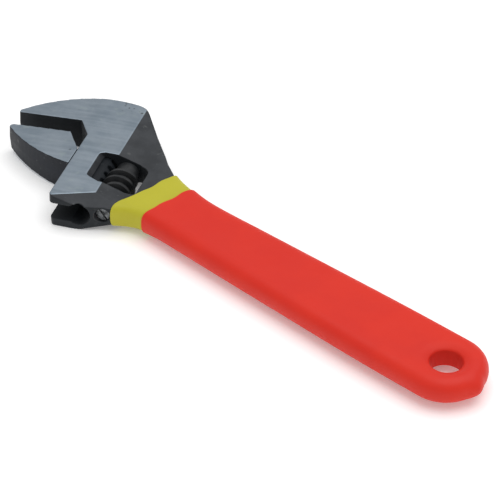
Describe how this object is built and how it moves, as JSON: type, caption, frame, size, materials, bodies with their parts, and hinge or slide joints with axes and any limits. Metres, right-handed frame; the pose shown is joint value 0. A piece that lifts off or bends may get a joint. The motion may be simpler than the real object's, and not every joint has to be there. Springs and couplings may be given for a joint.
{
  "type": "adjustable wrench",
  "caption": "Adjustable wrench with angled ground-steel jaws, a sliding jaw driven by a worm, and a dipped two-colour vinyl grip with a hang hole.",
  "frame": {"origin": "centre of the hang hole, on the wrench's middle plane", "axes": "+X along the handle towards the jaws, +Y towards the moving jaw's side, +Z square to the flat of the wrench"},
  "size_m": [0.2068, 0.0582, 0.0126],
  "materials": {
    "frame": "ground flats, dark phosphated neck",
    "movable_jaw": "ground flats, dark phosphated sides and rack",
    "worm": "black oxide",
    "worm_pin": "black oxide, bright where scratched",
    "worm_spring": "bright wire",
    "grip_inner": "satin dipped vinyl",
    "grip_outer": "satin dipped vinyl"
  },
  "bodies": {
    "frame": {"frame": "frame", "worm_pin": "worm_pin", "worm_spring": "worm_spring", "grip_inner": "grip_inner", "grip_outer": "grip_outer"},
    "movable_jaw": {"movable_jaw": "movable_jaw"},
    "worm": {"worm": "worm"}
  },
  "joints": [
    {"name": "jaw_slide", "type": "slide", "parent": "frame", "child": "movable_jaw", "axis": [-0.4226, 0.9063, 0], "range_m": [-0.0073, 0.0166]},
    {"name": "worm_spin", "type": "hinge", "parent": "frame", "child": "worm", "pos_m": [0.13943, 0.00009, 0], "axis": [0.4226, -0.9063, 0], "range_deg": [-702, 1595]}
  ],
  "couplings": [
    {"joint": "worm_spin", "follows": "jaw_slide", "rad_per_m": 1675.5}
  ]
}
